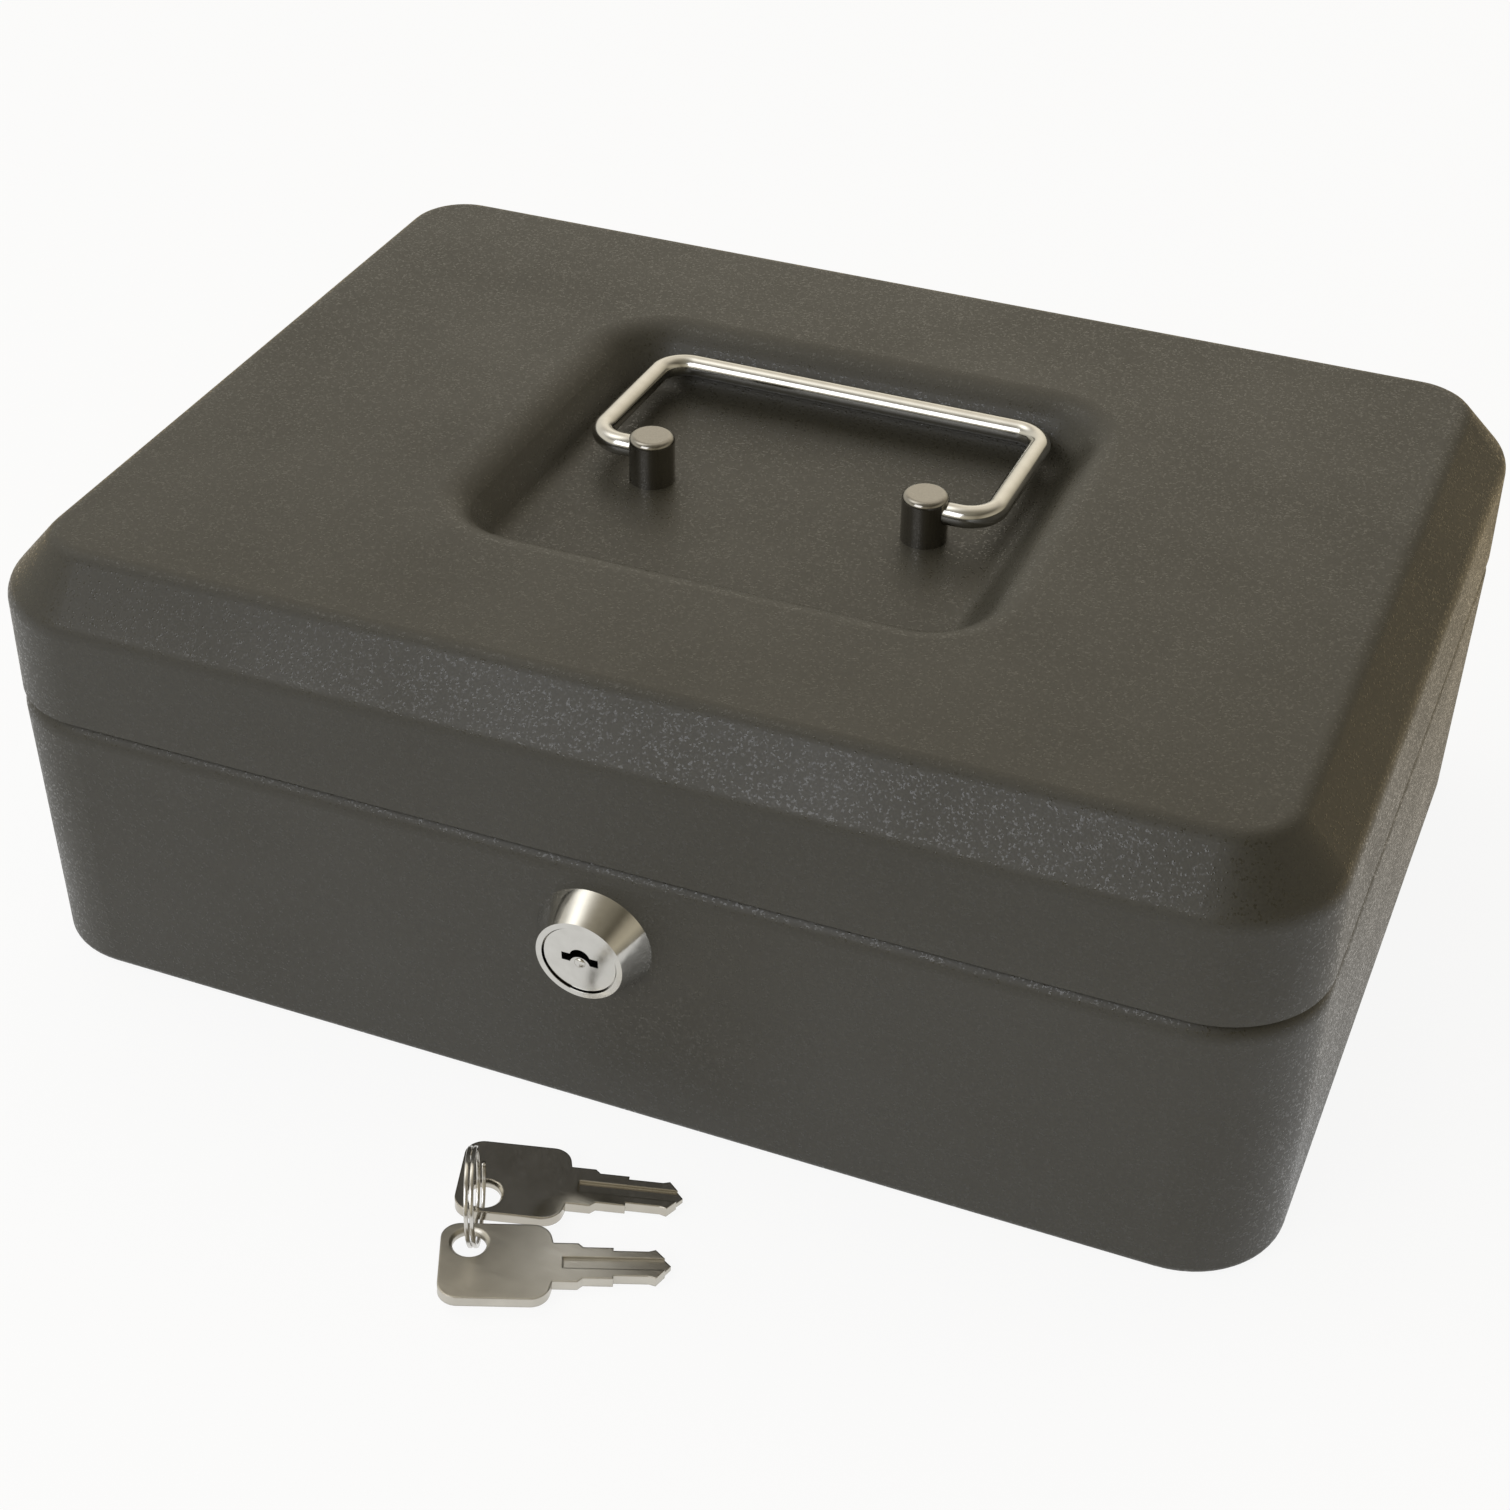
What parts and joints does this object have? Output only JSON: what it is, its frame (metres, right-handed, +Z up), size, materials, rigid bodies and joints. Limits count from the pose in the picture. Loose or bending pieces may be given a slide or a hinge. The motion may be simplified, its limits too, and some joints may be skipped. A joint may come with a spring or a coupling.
{
  "type": "cash box",
  "caption": "Portable steel cash box: rear-hinged lid with a wire handle sunk in a dish, front cam lock, lift-out coin tray and keys on a split ring.",
  "frame": {"origin": "middle of the flat underside, on the surface that the box stands on", "axes": "+X to the right of someone who faces the lock, +Y to the hinges at the back, +Z up"},
  "size_m": [0.25, 0.2343, 0.09],
  "materials": {
    "powder_coat": "fine-textured dark powder coat",
    "chrome_plate": "bright chrome plate",
    "zinc_plate": "zinc plate, satin",
    "tray_plastic": "fine-grained black moulding",
    "nickel_plate": "satin nickel plate",
    "spring_steel": "bright drawn spring wire"
  },
  "bodies": {
    "base": {"base_shell": "powder_coat", "hinge_base_leaf_left": "zinc_plate", "hinge_base_leaf_right": "zinc_plate", "hinge_pin_left": "zinc_plate", "hinge_pin_right": "zinc_plate", "lock_housing": "chrome_plate", "lock_washer": "zinc_plate", "lock_nut": "zinc_plate"},
    "lid": {"lid_shell": "powder_coat", "post_left": "chrome_plate", "post_right": "chrome_plate", "post_screws": "zinc_plate", "post_washers": "zinc_plate", "hinge_lid_leaf_left": "zinc_plate", "hinge_lid_leaf_right": "zinc_plate", "strike": "zinc_plate"},
    "handle": {"handle_bail": "chrome_plate"},
    "lock_core": {"lock_plug": "chrome_plate", "lock_cam": "zinc_plate", "cam_screw": "zinc_plate"},
    "tray": {"coin_tray": "tray_plastic"},
    "keys": {"key_front": "nickel_plate", "key_rear": "nickel_plate", "split_ring": "spring_steel"}
  },
  "joints": [
    {"name": "lid_hinge", "type": "hinge", "parent": "base", "child": "lid", "pos_m": [0, 0.0878, 0.0607], "axis": [-1, 0, 0], "range_deg": [0, 115]},
    {"name": "handle_swing", "type": "hinge", "parent": "lid", "child": "handle", "pos_m": [0, 0, 0.0863], "axis": [1, 0, 0], "range_deg": [0, 183]},
    {"name": "lock_turn", "type": "hinge", "parent": "base", "child": "lock_core", "pos_m": [0, -0.0895, 0.041], "axis": [0, 0.9996, 0.0291], "range_deg": [0, 90]},
    {"name": "tray_lift", "type": "slide", "parent": "base", "child": "tray", "axis": [0, 0, 1], "range_m": [0, 0.01]},
    {"name": "keys_lift", "type": "slide", "parent": "base", "child": "keys", "axis": [0, 0, 1], "range_m": [0, 0.12]}
  ]
}
